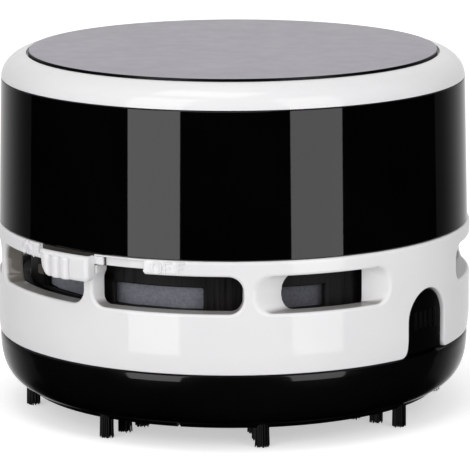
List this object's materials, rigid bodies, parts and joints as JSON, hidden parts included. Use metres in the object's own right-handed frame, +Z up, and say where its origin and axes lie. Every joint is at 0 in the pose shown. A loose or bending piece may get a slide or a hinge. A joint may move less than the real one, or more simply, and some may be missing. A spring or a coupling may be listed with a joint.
{
  "type": "desktop mini vacuum cleaner",
  "caption": "Round battery desk vacuum with a dust cup and brush ring, vented fan body, sliding switch, gloss drum and a cap that turns and lifts.",
  "frame": {"origin": "centre of the plane of the bristle tips, on the body's axis", "axes": "+Z up along the body's axis, -Y the front with the switch at its left"},
  "size_m": [0.0852, 0.0852, 0.0645],
  "materials": {
    "white_shell": "smooth white moulding",
    "gloss_black": "high gloss",
    "satin_black": "satin moulding",
    "grey_disc": "satin grey face, black edge",
    "inner_black": "plain moulding",
    "bristle": "nylon filament",
    "filter_cloth": "grey felt and fine mesh",
    "steel": "plated",
    "brass_contact": "bright",
    "winding": "enamelled copper",
    "magnet": "ferrite",
    "motor_cap": "plain moulding",
    "seal": "matt",
    "cell_sleeve": "plain printed sleeve",
    "wire_red": "insulation",
    "wire_black": "insulation"
  },
  "bodies": {
    "housing": {"vent_shell": "white_shell", "drum_shell": "gloss_black", "filter_frame": "satin_black", "chassis": "inner_black", "fan_housing": "inner_black", "intake_plate": "inner_black", "exhaust_filter": "filter_cloth", "filter_screen": "filter_cloth", "motor_can": "steel", "fan_screw_1": "steel", "fan_screw_2": "steel", "fan_screw_3": "steel", "chassis_screw_1": "steel", "chassis_screw_2": "steel", "chassis_screw_3": "steel", "chassis_screw_4": "steel", "cell_spring_1": "steel", "cell_spring_2": "steel", "cell_plate_1": "steel", "cell_plate_2": "steel", "bridge_plate": "steel", "terminal_1": "brass_contact", "terminal_2": "brass_contact", "switch_contact_1": "brass_contact", "switch_contact_2": "brass_contact", "magnet_1": "magnet", "magnet_2": "magnet", "motor_end_cap": "motor_cap", "cell_1": "cell_sleeve", "cell_2": "cell_sleeve", "battery_wire": "wire_red", "switch_wire": "wire_red", "return_wire": "wire_black"},
    "lid_core": {"cell_retainer": "inner_black"},
    "lid": {"top_cap": "white_shell", "top_disc": "grey_disc", "lid_pivot_screw": "steel"},
    "switch": {"switch_knob": "white_shell", "switch_slider": "inner_black", "switch_wiper": "brass_contact"},
    "rotor": {"motor_shaft": "steel", "impeller": "inner_black", "armature": "winding"},
    "cup": {"dust_cup": "satin_black", "cup_seal": "seal", "brush_sector_1": "bristle", "brush_sector_2": "bristle", "brush_sector_3": "bristle", "brush_sector_4": "bristle"},
    "latch_right": {"latch_tab_right": "satin_black"},
    "latch_left": {"latch_tab_left": "satin_black"}
  },
  "joints": [
    {"name": "lid_lift", "type": "slide", "parent": "housing", "child": "lid_core", "axis": [0, 0, 1], "range_m": [0, 0.035]},
    {"name": "lid_twist", "type": "hinge", "parent": "lid_core", "child": "lid", "pos_m": [0, 0, 0.0596], "axis": [0, 0, 1], "range_deg": [0, 20]},
    {"name": "switch_slide", "type": "hinge", "parent": "housing", "child": "switch", "pos_m": [0, 0, 0.0317], "axis": [0, 0, 1], "range_deg": [0, 10.4]},
    {"name": "fan_spin", "type": "hinge", "parent": "housing", "child": "rotor", "pos_m": [0, 0, 0.0288], "axis": [0, 0, 1], "continuous": true},
    {"name": "cup_release", "type": "slide", "parent": "cup", "child": "housing", "axis": [0, 0, 1], "range_m": [0, 0.025]},
    {"name": "latch_press_right", "type": "hinge", "parent": "cup", "child": "latch_right", "pos_m": [0.03324, -0.0246, 0.0146], "axis": [-0.5948, -0.8039, 0], "range_deg": [0, 4], "stiffness_Nm_per_rad": 0.1},
    {"name": "latch_press_left", "type": "hinge", "parent": "cup", "child": "latch_left", "pos_m": [-0.03324, 0.0246, 0.0146], "axis": [0.5948, 0.8039, 0], "range_deg": [0, 4], "stiffness_Nm_per_rad": 0.1}
  ]
}
